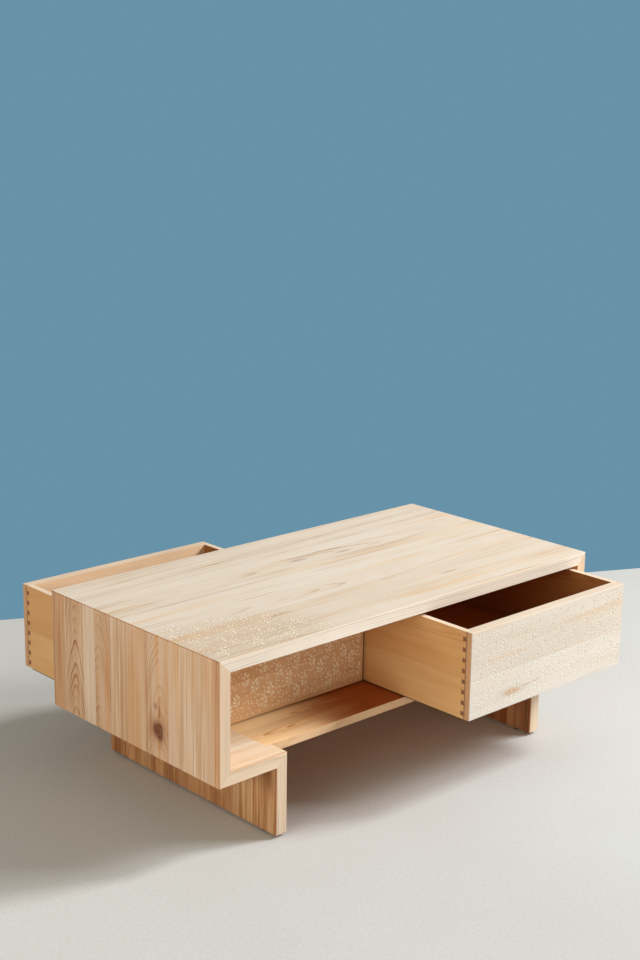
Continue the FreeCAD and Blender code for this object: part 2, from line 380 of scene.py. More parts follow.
# staves, joints and the sides of a board
stave_level_shares = (0.36, 0.82)
joint_half = 0.35 * mm
joint_step_share = 0.0005
joint_dark_share = 0.10
seam_half = 1.0 * mm
seam_dark_share = 0.34
facing_span = (0.75, 0.95)
upward_span = (-0.4, 0.9)
# how far the heartwood and its painted shade wander along the shelf
heartwood_and_shade_drift = 0.3
corner_power = 3
patch_span = (1.4, 0.35)
# paler long edges: painted light
lit_edge_share = 0.6
lit_edge_grain = 0.5
lit_edge_level = 1.15
lap_shade = 6.0 * mm
end_share = 0.92
end_grain = 0.5
end_level = 1.1

# gloss and relief
wood_roughness = 0.54
wood_roughness_range = 0.12
wood_specular = 0.26
pore_relief = 0.6
fibre_relief = 0.5
ring_relief = 0.35
wood_relief = 0.22
wood_relief_depth = 0.6 * mm

# what a run of staves is drawn from
least_stave_share = 0.6
stave_width_shares = (0.6, 1.45)
stave_tints = (0.34, 0.68)
stave_slopes = (0.36, 0.64)
stave_hearts = (0.0, 1.0)
stave_figures = (0.4, 1.0)


def run_of_staves(low, high, width, seed):
    """Staves of uneven width from low to high, each with its tint, slope, place of heart and figure."""
    draw = random.Random(seed)
    joints = [low]
    while joints[-1] < high - least_stave_share * width:
        joints.append(joints[-1] + width * draw.uniform(*stave_width_shares))
    joints[-1] = high
    staves = []
    for left, right in zip(joints, joints[1:]):
        tint = draw.uniform(*stave_tints)
        slope = draw.uniform(*stave_slopes)
        heart = draw.uniform(*stave_hearts)
        figure = draw.uniform(*stave_figures)
        staves.append((left, right, tint, slope, heart, figure))
    return staves


def wood(
    name, axes, staves, colours, outer, seed,
    rings=0.6, bands=0.5, warmth=0.6, knots=(),
    ends=None, edges=None, inner=None, fade=None, patch=None, seam=None,
):
    """A wood material. axes names the axis along the grain, across it and through the board.

    outer is where the board's face lies through the board, edges is a paler colour that the long
    edges turn to as painted light, ends are the colours of the end grain in the lap of a joint and in
    its pins, the pins darker partly as painted shade, with the lap's length, inner is the way that the
    inner face looks and how it is tinted, fade is how far from the middle the darker heartwood and its
    painted shade begin and are full and how they are tinted, patch is the corner, reach and tint of a
    worked patch, and seam is where a glued mitre shows along the grain.
    """
    material, nodes, shader = new_material(name)
    place = nodes.add("ShaderNodeTexCoord", output="Object")
    facing = nodes.add("ShaderNodeTexCoord", output="Normal")
    spots = dict(zip("XYZ", nodes.parts(place)))
    faces = dict(zip("XYZ", nodes.parts(facing)))
    along, across, through = (spots[axis] for axis in axes)
    end_facing, edge_facing, face_facing = (faces[axis] for axis in axes)

    # which stave
    low = staves[0][0]
    whole = staves[-1][1] - low
    stops = []
    figures = []
    for left, right, tint, slope, heart, figure in staves:
        start = (left - low) / whole
        middle = ((left + right) / 2 - low) / whole
        stops.append((start, (tint, middle, slope, heart)))
        figures.append((start, figure))

    def share_at(spot):
        return nodes.math("MULTIPLY_ADD", spot, 1.0 / whole, -low / whole)

    def stave_at(spot):
        node = nodes.ramp(share_at(spot), stops, "CONSTANT").node
        return node.outputs["Color"], node.outputs["Alpha"]

    lively = nodes.ramp(share_at(across), figures, "CONSTANT")
    colour, heart = stave_at(across)
    tint, middle, slope = nodes.parts(colour)
    centre = nodes.math("MULTIPLY_ADD", middle, whole, low)
    local = nodes.math("SUBTRACT", across, centre)
    number = nodes.math("MULTIPLY_ADD", middle, stave_number_step, seed)
    draw = nodes.parts(nodes.chance(number, "Color"))
    shifted_along = nodes.math("ADD", along, number)
    shifted_across = nodes.math("ADD", across, draw[0])
    shifted = nodes.vector(shifted_along, shifted_across, through)

    def stretched(length, width, detail=2.0, roughness=0.5):
        """Noise drawn out along the grain; length and width are how often it changes in a metre."""
        return nodes.noise(nodes.times(shifted, (length, width, width)), 1.0, detail, roughness)

    def centred(value):
        return nodes.math("SUBTRACT", value, 0.5)

    # rings round a heart that lies beside the stave
    sway = centred(stretched(*sway_figure))
    shiver = centred(stretched(*shiver_figure))
    aside = nodes.math("MULTIPLY_ADD", centred(heart), -pith_spread, local)
    depth = nodes.math("SUBTRACT", through, outer)
    down = nodes.math("ADD", nodes.math("MULTIPLY_ADD", draw[1], pith_range, pith_near), depth)
    square = nodes.math("MULTIPLY_ADD", aside, aside, nodes.math("MULTIPLY", down, down))
    steep = nodes.math("MULTIPLY_ADD", slope, 2 * steepest, -steepest)
    radius = nodes.math("MULTIPLY_ADD", along, steep, nodes.math("SQRT", square))
    radius = nodes.math("MULTIPLY_ADD", sway, wander, radius)
    radius = nodes.math("MULTIPLY_ADD", shiver, tremble, radius)

    # knots push the rings aside and darken
    core = None
    halo = None
    for knot_across, knot_along, half_width, half_length, strength in knots:
        away_across = nodes.math("DIVIDE", nodes.math("SUBTRACT", across, knot_across), half_width)
        away_along = nodes.math("DIVIDE", nodes.math("SUBTRACT", along, knot_along), half_length)
        far = nodes.math("MULTIPLY", away_along, away_along)
        far = nodes.math("MULTIPLY_ADD", away_across, away_across, far)
        swell = nodes.math("EXPONENT", nodes.math("MULTIPLY", far, -knot_swell_rate))
        radius = nodes.math("MULTIPLY_ADD", swell, knot_swell_share * half_width, radius)
        edge = nodes.math("MULTIPLY_ADD", shiver, knot_ragged, nodes.math("SQRT", far))
        edge = nodes.math("DIVIDE", edge, knot_reach)
        dark = nodes.math("MULTIPLY", nodes.ramp(edge, knot_stain), strength)
        glow = nodes.math("MULTIPLY", nodes.ramp(edge, knot_glow), strength)
        core = dark if core is None else nodes.math("MAXIMUM", core, dark)
        halo = glow if halo is None else nodes.math("MAXIMUM", halo, glow)

    phase = nodes.math("DIVIDE", radius, ring_step)
    line = nodes.ramp(nodes.math("FRACT", phase), ring_line)
    weight = nodes.chance(nodes.math("ADD", nodes.math("FLOOR", phase), number))
    weight = nodes.math("MULTIPLY_ADD", nodes.math("MULTIPLY", weight, weight), *ring_weight_shares)
    grain = nodes.math("MULTIPLY", line, weight)
    grain = nodes.math("MULTIPLY", grain, nodes.span(stretched(*ring_fade_figure), *ring_fade_span))

    # bands, streaks of heartwood, pale lines, fibre, pores, blotches and flecks
    band = centred(stretched(*band_figure))
    streak = nodes.span(stretched(*streak_figure), *streak_span)
    silver = nodes.span(stretched(*silver_figure), *silver_span)
    fibre = stretched(*fibre_figure)
    pores = nodes.span(stretched(*pore_figure), *pore_span)
    pores = nodes.math("MULTIPLY", pores, nodes.math("MULTIPLY_ADD", grain, *pore_shares))
    blotch = centred(stretched(*blotch_figure))
    fleck_place = nodes.times(shifted, fleck_scale)
    fleck_node = nodes.add("ShaderNodeTexVoronoi", {"Vector": fleck_place, "Scale": 1.0}).node
    fleck_chance = nodes.parts(fleck_node.outputs["Color"])[0]
    rare = nodes.math("GREATER_THAN", fleck_chance, fleck_rarity_share)
    fleck = nodes.math("MULTIPLY", nodes.span(fleck_node.outputs["Distance"], *fleck_span), rare)

    tone = nodes.math("MULTIPLY_ADD", grain, rings, tone_base)
    strands = nodes.math("MULTIPLY_ADD", nodes.math("SUBTRACT", streak, silver), strand_share, band)
    tone = nodes.math("MULTIPLY_ADD", strands, nodes.math("MULTIPLY", lively, bands), tone)
    tone = nodes.math("MULTIPLY_ADD", centred(fibre), fibre_share, tone)
    tone = nodes.math("MULTIPLY_ADD", blotch, blotch_share, tone)
    tone = nodes.math("MULTIPLY_ADD", pores, pore_share, tone)
    tone = nodes.math("MULTIPLY_ADD", fleck, fleck_share, tone)
    light, middling, dark_tone, knot_tone = colours
    paint = nodes.ramp(tone, ((0.0, light), (middling_place, middling), (1.0, dark_tone)))

    # warmer streaks and staves
    warm = nodes.span(stretched(*warm_figure), *warm_span)
    warm = nodes.math("MULTIPLY", warm, streak_warm_share)
    warm = nodes.math("MULTIPLY_ADD", draw[2], stave_warm_share, warm)
    gold = nodes.span(stretched(*gold_figure), *gold_span)
    warm = nodes.math("MULTIPLY_ADD", gold, gold_warm_share, warm)
    warm = nodes.math("MULTIPLY", warm, warmth)
    lost = nodes.scaled(warm_loss, warm)
    kept = nodes.add("ShaderNodeVectorMath", {0: lost, 1: (1.0, 1.0, 1.0)}, operation="ADD")
    paint = nodes.times(paint, kept)
    # darker towards the middle and on upward faces: partly heartwood, partly painted shade that the
    # drawers and the top cast on the shelf
    if fade is not None:
        pale_end, dark_end, heartwood_and_shade_tint = fade
        drift = nodes.math("ABSOLUTE", nodes.math("MULTIPLY_ADD", sway, heartwood_and_shade_drift, along))
        upward = nodes.span(face_facing, *upward_span)
        inside = nodes.math("MULTIPLY", nodes.span(drift, pale_end, dark_end), upward)
        paint = nodes.mix(inside, paint, nodes.times(paint, heartwood_and_shade_tint))
    if patch is not None:
        corner, reach, patch_tint = patch
        beside = nodes.math("DIVIDE", nodes.math("SUBTRACT", along, corner[0]), reach[0])
        behind = nodes.math("DIVIDE", nodes.math("SUBTRACT", across, corner[1]), reach[1])
        beside = nodes.math("POWER", beside, corner_power)
        behind = nodes.math("POWER", behind, corner_power)
        worked = nodes.span(nodes.math("ADD", beside, behind), *patch_span)
        paint = nodes.mix(worked, paint, nodes.times(paint, patch_tint))
    if core is not None:
        paint = nodes.mix(nodes.math("MULTIPLY", halo, knot_glow_share), paint, dark_tone)
        paint = nodes.mix(core, paint, knot_tone)

    # the tint of each stave, browner where it is darker, and the glue lines
    before = nodes.parts(stave_at(nodes.math("SUBTRACT", across, joint_half))[0])[1]
    after = nodes.parts(stave_at(nodes.math("ADD", across, joint_half))[0])[1]
    step = nodes.math("ABSOLUTE", nodes.math("SUBTRACT", after, before))
    glued = nodes.math("GREATER_THAN", step, joint_step_share)
    glued = nodes.math("MULTIPLY", glued, joint_dark_share)
    if seam is not None:
        away = nodes.math("ABSOLUTE", nodes.math("SUBTRACT", along, seam))
        shut = nodes.math("MULTIPLY", nodes.math("LESS_THAN", away, seam_half), seam_dark_share)
        glued = nodes.math("MAXIMUM", glued, shut)
    level = nodes.math("MULTIPLY_ADD", tint, *stave_level_shares)
    level = nodes.math("SUBTRACT", level, glued)
    second = nodes.math("MULTIPLY", level, level)
    third = nodes.math("MULTIPLY", second, level)
    paint = nodes.times(paint, nodes.vector(level, second, third))
    # the long edges turn paler: painted light, as if they caught the lamps
    if edges is not None:
        lit_edge_on = nodes.span(nodes.math("ABSOLUTE", edge_facing), *facing_span)
        rim = nodes.scaled(edges[:3], nodes.math("MULTIPLY_ADD", tone, -lit_edge_grain, lit_edge_level))
        paint = nodes.mix(nodes.math("MULTIPLY", lit_edge_on, lit_edge_share), paint, rim)
    # end grain, with the pins deeper in the joint darker: partly end grain, partly painted shade
    # between the tails
    if ends is not None:
        end_on = nodes.span(nodes.math("ABSOLUTE", end_facing), *facing_span)
        lap_colour, pin_and_shade_colour, lap = ends
        deep = nodes.math("ABSOLUTE", depth)
        sawn = nodes.mix(nodes.span(deep, lap - lap_shade, lap + joint_half), lap_colour, pin_and_shade_colour)
        cut_across = nodes.scaled(sawn, nodes.math("MULTIPLY_ADD", grain, -end_grain, end_level))
        paint = nodes.mix(nodes.math("MULTIPLY", end_on, end_share), paint, cut_across)
    if inner is not None:
        way, inner_tint = inner
        turned = nodes.span(nodes.math("MULTIPLY", face_facing, way), *facing_span)
        paint = nodes.mix(turned, paint, nodes.times(paint, inner_tint))
    nodes.feed(shader.inputs["Base Color"], paint)

    rough = nodes.math("MULTIPLY_ADD", tone, wood_roughness_range, wood_roughness)
    nodes.feed(shader.inputs["Roughness"], rough)
    shader.inputs["Specular IOR Level"].default_value = wood_specular
    relief = nodes.math("MULTIPLY", fibre, fibre_relief)
    relief = nodes.math("MULTIPLY_ADD", pores, -pore_relief, relief)
    relief = nodes.math("MULTIPLY_ADD", grain, -ring_relief, relief)
    nodes.feed(shader.inputs["Normal"], nodes.bump(relief, wood_relief, wood_relief_depth))
    return material


front_plane = -0.33003
end_face = 0.610
front_lap = 18 * mm
level_slope = 0.5
top_slope_share = 0.22
corner_reach = (345 * mm, 238 * mm)
top_patch = ((-end_face, front_plane), corner_reach, (0.90, 0.86, 0.81))
knot_brown = shade(92, 48, 22)

# staves that run round the case: from and to in mm, measured back from its front edge, then tint,
# slope of the rings, place of their heart and how lively the figure is
case_staves_mm = (
    (0, 4, 0.00, 0.50, 0.00, 0.5),
    (4, 80, 0.47, 0.52, 0.00, 1.0),
    (80, 138, 0.74, 0.49, 1.00, 0.6),
    (138, 177, 0.56, 0.51, 0.05, 0.3),
    (177, 257, 0.38, 0.88, 0.46, 0.6),
    (257, 350, 0.46, 0.48, 0.90, 0.2),
    (350, 393, 0.54, 0.53, 0.10, 0.8),
    (393, 450, 0.32, 0.82, 0.56, 0.9),
    (450, 498, 0.70, 0.49, 0.95, 0.2),
    (498, 567, 0.30, 0.76, 0.48, 0.9),
    (567, 573, 0.78, 0.50, 0.02, 0.2),
    (573, 625, 0.16, 0.47, 0.93, 0.5),
)
case_staves = [
    (front_plane + left * mm, front_plane + right * mm, tint, slope, heart, figure)
    for left, right, tint, slope, heart, figure in case_staves_mm
]
top_hearts = (0.30, 0.30, 0.95, 0.05, 0.54, 0.20, 0.80, 0.48, 0.00, 0.90, 0.58, 0.10)
top_tints = (0.46, 0.46, 0.42, 0.40, 0.47, 0.52, 0.50, 0.48, 0.52, 0.50, 0.52, 0.46)
top_staves = [
    (left, right, tint, level_slope + top_slope_share * (slope - level_slope), heart, figure)
    for (left, right, _, slope, _, figure), tint, heart in zip(case_staves, top_tints, top_hearts)
]

# the right leg's staves: bright over the front 80 mm as a painted lit strip, darker behind as painted
# shade
right_leg_lit_and_shaded_tints = (0.90, 0.95, 0.30, 0.16, 0.30, 0.24, 0.34, 0.22, 0.36, 0.20, 0.40, 0.26)
right_leg_lit_and_shaded_staves = [
    (left, right, tint, slope, heart, figure)
    for (left, right, _, slope, heart, figure), tint in zip(case_staves, right_leg_lit_and_shaded_tints)
]

# woods: light, middling and dark tone, then the tone of knots
top_colours = (shade(239, 231, 220), shade(230, 218, 202), shade(180, 142, 106), knot_brown)
end_colours = (shade(230, 206, 183), shade(210, 176, 144), shade(163, 108, 68), shade(108, 56, 28))
# the legs: the ends' wood made darker and warmer as painted shade under the table
leg_painted_shade_colours = (shade(211, 169, 126), shade(171, 120, 79), shade(117, 71, 41), knot_brown)
# the bottom boards: paler and warmer than the top's wood, painted light for their place in the niche's
# shade
board_painted_light_colours = (shade(248, 235, 214), shade(242, 222, 193), shade(194, 150, 106), knot_brown)
shelf_colours = (shade(254, 234, 194), shade(252, 222, 170), shade(206, 150, 94), knot_brown)
pale_colours = (shade(233, 226, 216), shade(222, 212, 199), shade(183, 152, 118), shade(204, 142, 82))
back_colours = (shade(228, 208, 182), shade(213, 189, 159), shade(170, 130, 92), knot_brown)
# the left drawer's front: the fronts' wood made browner and warmer, painted warm shade of the niche it
# stands in
niche_shade_colours = (shade(242, 203, 161), shade(222, 175, 130), shade(168, 113, 72), knot_brown)
side_colours = (shade(230, 186, 132), shade(215, 164, 106), shade(172, 116, 62), knot_brown)
floor_colours = (shade(224, 154, 92), shade(204, 134, 76), shade(152, 92, 48), knot_brown)
cut_colours = (shade(237, 230, 219), shade(230, 220, 206), shade(204, 184, 160), shade(214, 160, 106))
# its cuts, warmer in the same painted shade
niche_shade_cut_colours = (shade(255, 243, 220), shade(252, 234, 206), shade(228, 198, 160), knot_brown)
top_cut_colours = (shade(248, 240, 226), shade(242, 229, 210), shade(206, 178, 146), knot_brown)
block_colours = (shade(206, 160, 112), shade(186, 138, 92), shade(140, 94, 56), knot_brown)
# end grain of the drawer panels: the lap, the pins darker partly as painted shade, and the lap's length
panel_ends = (shade(204, 156, 112), shade(132, 76, 40), front_lap)
# pale colours of the long edges, a painted light
lit_edge_cream = shade(240, 225, 203)
side_lit_edge_cream = shade(252, 243, 230)
top_lit_edge_cream = shade(249, 240, 228)
panel_lit_edge_cream = shade(232, 210, 188)
leg_lit_edge_cream = shade(249, 235, 211)
shelf_lit_edge_tan = shade(228, 182, 146)
# the shelf's darker middle: partly heartwood, partly painted shade of the niche
shelf_heartwood_and_painted_shade = (0.41, 0.11, (0.37, 0.118, 0.034))
# darker inner faces of the drawer sides: painted shade inside the drawers
side_inner_painted_shade = (0.52, 0.38, 0.28)
# brighter, warmer inner faces of the drawer fronts and backs: painted light
front_inner_painted_light = (1.22, 1.01, 0.80)
back_inner_painted_light = (1.30, 1.22, 1.14)
shelf_under = (0.95, 0.50, 0.27)
# darker inner faces of the legs: painted shade under the table
leg_inner_painted_shade = (0.74, 0.60, 0.48)
case_inner = (1.0, 0.84, 0.66)

# knots: place across and along the grain, half-width, half-length and strength
end_knots = (
    (-0.117, 0.235, 18 * mm, 20 * mm, 0.95),
    (-0.122, 0.279, 3.5 * mm, 15 * mm, 0.50),
    (-0.108, 0.290, 5 * mm, 7 * mm, 0.40),
)
top_knots = (
    (0.082, 0.139, 5 * mm, 26 * mm, 0.30),
    (0.097, -0.006, 5 * mm, 20 * mm, 0.28),
    (-0.214, 0.220, 2.5 * mm, 22 * mm, 0.32),
    (-0.184, -0.314, 3 * mm, 30 * mm, 0.30),
)
front_knots = (
    (0.241, 0.150, 6 * mm, 26 * mm, 0.56),
    (0.245, 0.202, 1.8 * mm, 16 * mm, 0.44),
    (0.246, 0.238, 1.6 * mm, 12 * mm, 0.40),
)


mottle_detail = 3.0
mottle_roughness = 0.6
mottle_gloss_range = 0.2
mottle_relief = 0.1
mottle_relief_depth = 0.4 * mm


def plain_material(name, light, dark, scale, roughness, metal=0.0):
    """Moulded plastic, rubber or steel: a fine mottle in colour, roughness and bump."""
    material, nodes, shader = new_material(name)
    place = nodes.add("ShaderNodeTexCoord", output="Object")
    mottle = nodes.noise(place, scale, mottle_detail, mottle_roughness)
    nodes.feed(shader.inputs["Base Color"], nodes.mix(mottle, dark, light))
    smoothest = roughness - mottle_gloss_range / 2
    rough = nodes.math("MULTIPLY_ADD", mottle, mottle_gloss_range, smoothest)
    nodes.feed(shader.inputs["Roughness"], rough)
    shader.inputs["Metallic"].default_value = metal
    nodes.feed(shader.inputs["Normal"], nodes.bump(mottle, mottle_relief, mottle_relief_depth))
    return material


def dress(material, *names):
    """Gives each CAD node that material in place of the ones it came with."""
    for name in names:
        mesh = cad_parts[name].data
        mesh.materials.clear()
        mesh.materials.append(material)


# Carving: leaf sprigs cut into the drawers' outer faces and one corner of the top

cut_steps = 6
cut_space = 0.7 * mm
cut_margin = 5.0 * mm
cut_bowl_power = 0.7
leaf_length = 12.5 * mm
leaf_width = 5.8 * mm
leaf_depth = 0.9 * mm
leaf_bulge_power = 0.8
leaf_gap = 2.0 * mm
leaf_spread = 0.75
leaf_pair_shares = ((0.30, 0.85), (0.62, 1.0), (0.94, 0.9))
stem_width = 1.6 * mm
stem_depth = 0.5 * mm
stem_share = 0.66
stem_taper = 4
seed_length = 5.6 * mm
seed_width = 4.2 * mm
seed_gap = 3.0 * mm
seed_spread = 0.9
seed_fill_share = 0.9
seed_tries = 20
sprig_column = 50 * mm
sprig_row = 44 * mm
sprig_height = 40 * mm
sprig_shift_share = 0.16
sprig_foot_share = 0.22
sprig_jitter = 1.5 * mm
sprig_leans = (0.35, 0.60)
sprig_bends = (0.5, 0.9)
sprig_size_shares = (0.92, 1.08)
corner_seed = 41
corner_waves = 9
corner_ripple_share = 0.06
grid_cell = 13 * mm
weld_gap = 0.002 * mm
flat_gap = 0.01 * mm
flat_facing = 0.9
cut_precision = 1e-7


def stepped(spot, heading, length):
    """The point at that length and heading from a spot."""
    return (spot[0] + math.cos(heading) * length, spot[1] + math.sin(heading) * length)


class Carver:
    """Collects cuts in the flat coordinates of one face, keeping them clear of each other."""

    def __init__(self, inside):
        self.inside = inside
        self.cuts = []
        self.cells = {}

    def near(self, spot):
        column = math.floor(spot[0] / grid_cell)
        row = math.floor(spot[1] / grid_cell)
        for side in (-1, 0, 1):
            for rise in (-1, 0, 1):
                yield from self.cells.get((column + side, row + rise), ())

    def add(self, spine, halves, depth):
        """One cut along spine, whose half-width at each inner point is in halves."""
        discs = []
        for index, spot in enumerate(spine):
            half = halves[index]
            discs.append((spot[0], spot[1], half))
            if not self.inside(spot, half + cut_margin):
                return False
        for x, y, half in discs:
            for other_x, other_y, other_half in self.near((x, y)):
                if math.hypot(x - other_x, y - other_y) < half + other_half + cut_space:
                    return False
        for x, y, half in discs:
            key = (math.floor(x / grid_cell), math.floor(y / grid_cell))
            self.cells.setdefault(key, []).append((x, y, half))
        self.cuts.append((spine, halves, depth))
        return True

    def leaf(self, foot, heading, length, width, depth):
        spine = []
        halves = []
        for step in range(cut_steps + 1):
            share = step / cut_steps
            spine.append(stepped(foot, heading, length * share))
            halves.append(width / 2 * math.sin(math.pi * share**leaf_bulge_power))
        halves[-1] = 0.0
        return self.add(spine, halves, depth)

    def stem(self, foot, heading, length, bend):
        spine = []
        halves = []
        spot = foot
        steps = 2 * cut_steps
        for step in range(steps + 1):
            share = step / steps
            spine.append(spot)
            halves.append(stem_width / 2 * min(1.0, stem_taper * share, stem_taper * (1 - share)))
            spot = stepped(spot, heading + bend * share, length / steps)
        if self.add(spine, halves, stem_depth):
            return spine
        return None


def sprig(carver, foot, heading, bend, size):
    """A bent stem with leaves either side, one at its tip, and seeds at its foot."""
    stem = carver.stem(foot, heading, sprig_height * size * stem_share, bend)
    length = leaf_length * size
    width = leaf_width * size
    off = leaf_gap + stem_width / 2
    if stem is not None:
        last = len(stem) - 1
        tip_heading = heading + bend
        start = stepped(stem[last], tip_heading, leaf_gap)
        carver.leaf(start, tip_heading, length, width, leaf_depth)
        for place_share, scale_share in leaf_pair_shares:
            at = stem[round(last * place_share)]
            turn = heading + bend * place_share
            for side in (1, -1):
                start = stepped(at, turn + side * math.pi / 2, off)
                out = turn + side * leaf_spread
                carver.leaf(start, out, length * scale_share, width * scale_share, leaf_depth)
    for side in (-1, 0, 1):
        out = heading + math.pi + seed_spread * side
        carver.leaf(stepped(foot, out, seed_gap), out, seed_length, seed_width, leaf_depth)


def sprigs_over(low, high, inside, seed):
    """Sprigs in a half-drop repeat over a rectangle, with seeds scattered in the gaps."""
    draw = random.Random(seed)
    carver = Carver(inside)
    columns = max(1, round((high[0] - low[0]) / sprig_column))
    rows = max(1, round((high[1] - low[1]) / sprig_row))
    pitch = (high[0] - low[0]) / columns
    rise = (high[1] - low[1]) / rows
    for column in range(columns):
        for row in range(-1, rows + 1):
            drop = rise / 2 * (column % 2)
            side = 1 if (row + column) % 2 else -1
            heading = math.pi / 2 + side * draw.uniform(*sprig_leans)
            shift = draw.uniform(-1, 1) * sprig_jitter - side * sprig_shift_share * pitch
            lift = draw.uniform(-1, 1) * sprig_jitter + drop
            foot = (
                low[0] + pitch * (column + 1 / 2) + shift,
                low[1] + rise * (row + sprig_foot_share) + lift,
            )
            bend = -side * draw.uniform(*sprig_bends)
            sprig(carver, foot, heading, bend, draw.uniform(*sprig_size_shares))
    for _ in range(seed_tries * columns * rows):
        spot = (draw.uniform(low[0], high[0]), draw.uniform(low[1], high[1]))
        heading = draw.uniform(0, math.pi)
        carver.leaf(spot, heading, seed_length, seed_width * seed_fill_share, leaf_depth)
    return carver.cuts


def carve(node_name, new_name, right, up, out, draw_cuts, materials, body):
    """A copy of a CAD node with cuts in its outer flat face, standing for that node."""
    right, up, out = Vector(right), Vector(up), Vector(out)
    made = bmesh.new()
    made.from_mesh(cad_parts[node_name].data)
    bmesh.ops.remove_doubles(made, verts=made.verts, dist=weld_gap)
    made.normal_update()
    level = max(vert.co.dot(out) for vert in made.verts)
    outer = []
    for face in made.faces:
        flat = all(abs(vert.co.dot(out) - level) < flat_gap for vert in face.verts)
        if flat and face.normal.dot(out) > flat_facing:
            outer.append(face)
    bmesh.ops.delete(made, geom=outer, context="FACES")
    for face in made.faces:
        face.material_index = 0
    rim = [edge for edge in made.edges if edge.is_boundary]
    rim_verts = list({vert for edge in rim for vert in edge.verts})
    rim_verts.sort(key=lambda vert: tuple(vert.co))
    number = {vert: index for index, vert in enumerate(rim_verts)}
    spots = [Vector((vert.co.dot(right), vert.co.dot(up))) for vert in rim_verts]
    edges = [(number[edge.verts[0]], number[edge.verts[1]]) for edge in rim]
    low = (min(spot.x for spot in spots), min(spot.y for spot in spots))
    high = (max(spot.x for spot in spots), max(spot.y for spot in spots))

    cuts = draw_cuts(low, high)
    loops = []
    layouts = []
    for spine, halves, depth in cuts:
        lefts = []
        rights = []
        last = len(spine) - 1
        for index in range(1, last):
            ahead = Vector(spine[index + 1]) - Vector(spine[index - 1])
            aside = Vector((-ahead.y, ahead.x)).normalized() * halves[index]
            lefts.append(Vector(spine[index]) + aside)
            rights.append(Vector(spine[index]) - aside)
        first = len(spots)
        spots.extend([Vector(spine[0]), *rights, Vector(spine[last]), *reversed(lefts)])
        loop = list(range(first, len(spots)))
        loops.append(loop)
        layouts.append((loop, spine, halves, depth))
    mapped = delaunay_2d_cdt(spots, edges, loops, 0, cut_precision)
    found, _, triangles, from_spots, _, from_loops = mapped

    verts = []
    of_spot = {}
    for spot, sources in zip(found, from_spots):
        known = [source for source in sources if source < len(rim_verts)]
        if known:
            vert = rim_verts[known[0]]
        else:
            vert = made.verts.new(right * spot.x + up * spot.y + out * level)
        verts.append(vert)
        for source in sources:
            of_spot[source] = vert
    for triangle, sources in zip(triangles, from_loops):
        if not sources:
            made.faces.new([verts[index] for index in triangle]).material_index = 0
    for loop, spine, halves, depth in layouts:
        last = len(spine) - 1
        widest = max(halves)
        floor_line = []
        for index in range(1, last):
            deep = depth * (halves[index] / widest) ** cut_bowl_power
            spot = spine[index]
            floor_line.append(made.verts.new(right * spot[0] + up * spot[1] + out * (level - deep)))
        ring = [of_spot[index] for index in loop]
        tail = ring[0]
        rights = ring[1:last]
        head = ring[last]
        lefts = list(reversed(ring[last + 1:]))
        for bank in (rights, lefts):
            for index in range(len(floor_line) - 1):
                quad = (bank[index], bank[index + 1], floor_line[index + 1], floor_line[index])
                made.faces.new(quad).material_index = 1
            made.faces.new((tail, bank[0], floor_line[0])).material_index = 1
            made.faces.new((bank[-1], head, floor_line[-1])).material_index = 1
    bmesh.ops.recalc_face_normals(made, faces=made.faces)
    mesh = bpy.data.meshes.new(new_name)
    made.to_mesh(mesh)
    made.free()
    for material in materials:
        mesh.materials.append(material)
    piece = bpy.data.objects.new(new_name, mesh)
    bpy.context.scene.collection.objects.link(piece)
    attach(piece, body)
    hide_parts(node_name)


def panel_cuts(seed):
    """Cuts over the whole of a drawer's outer face."""

    def draw_cuts(low, high):
        def inside(spot, room):
            across = low[0] + room < spot[0] < high[0] - room
            upright = low[1] + room < spot[1] < high[1] - room
            return across and upright

        return sprigs_over(low, high, inside, seed)

    return draw_cuts


def corner_cuts(low, high):
    """Cuts in a rounded patch at the left front corner of the top."""
    far = (low[0] + corner_reach[0], low[1] + corner_reach[1])

    def inside(spot, room):
        if spot[0] < low[0] + room or spot[1] < low[1] + room:
            return False
        across = (spot[0] - low[0]) / corner_reach[0]
        back = (spot[1] - low[1]) / corner_reach[1]
        ripple = corner_ripple_share * math.sin(corner_waves * math.atan2(back, across))
        return across**corner_power + back**corner_power < 1.0 + ripple

    return sprigs_over(low, far, inside, corner_seed)


# Put together

make_camera()
make_stage()
make_lamps()
make_sky()
bpy.context.scene.view_settings.view_transform = "Standard"

top_height = 0.457
board_top = 0.200
drawer_floor = 0.236
mitre_drop = 1.2 * mm
mitre_line = top_height - mitre_drop
shelf_front = -0.276
shelf_back = 0.241
panel_low = 0.204
panel_high = 0.418
drawers_front = -0.485
drawers_back = 0.485
drawer_seed = 20.0
drawer_seed_step = 10.0
panel_seed_step = 4

shelf_staves = run_of_staves(shelf_front, shelf_back, width=92 * mm, seed=11)
front_staves = run_of_staves(panel_low, panel_high, width=95 * mm, seed=12)
side_staves = run_of_staves(panel_low, panel_high, width=120 * mm, seed=13)
bottom_staves = run_of_staves(drawers_front, drawers_back, width=110 * mm, seed=14)
block_staves = run_of_staves(drawers_front, drawers_back, width=200 * mm, seed=15)
top_wood = wood(
    "top_wood", "XYZ", top_staves, top_colours, top_height, seed=1.0,
    rings=1.0, bands=0.32, warmth=0.68, knots=top_knots, edges=top_lit_edge_cream, patch=top_patch,
    inner=(-1, case_inner),
)
top_cut = wood(
    "top_cut_wood", "XYZ", top_staves, top_cut_colours, top_height, seed=1.0,
    rings=0.4, bands=0.3,
)
board_wood = wood(
    "bottom_board_wood", "XYZ", case_staves, board_painted_light_colours, board_top, seed=4.0,
    rings=0.8, bands=0.9, warmth=0.3, edges=lit_edge_cream,
)
shelf_wood = wood(
    "shelf_wood", "XYZ", shelf_staves, shelf_colours, board_top, seed=6.0,
    rings=0.8, bands=0.9, edges=shelf_lit_edge_tan, fade=shelf_heartwood_and_painted_shade, inner=(-1, shelf_under),
)
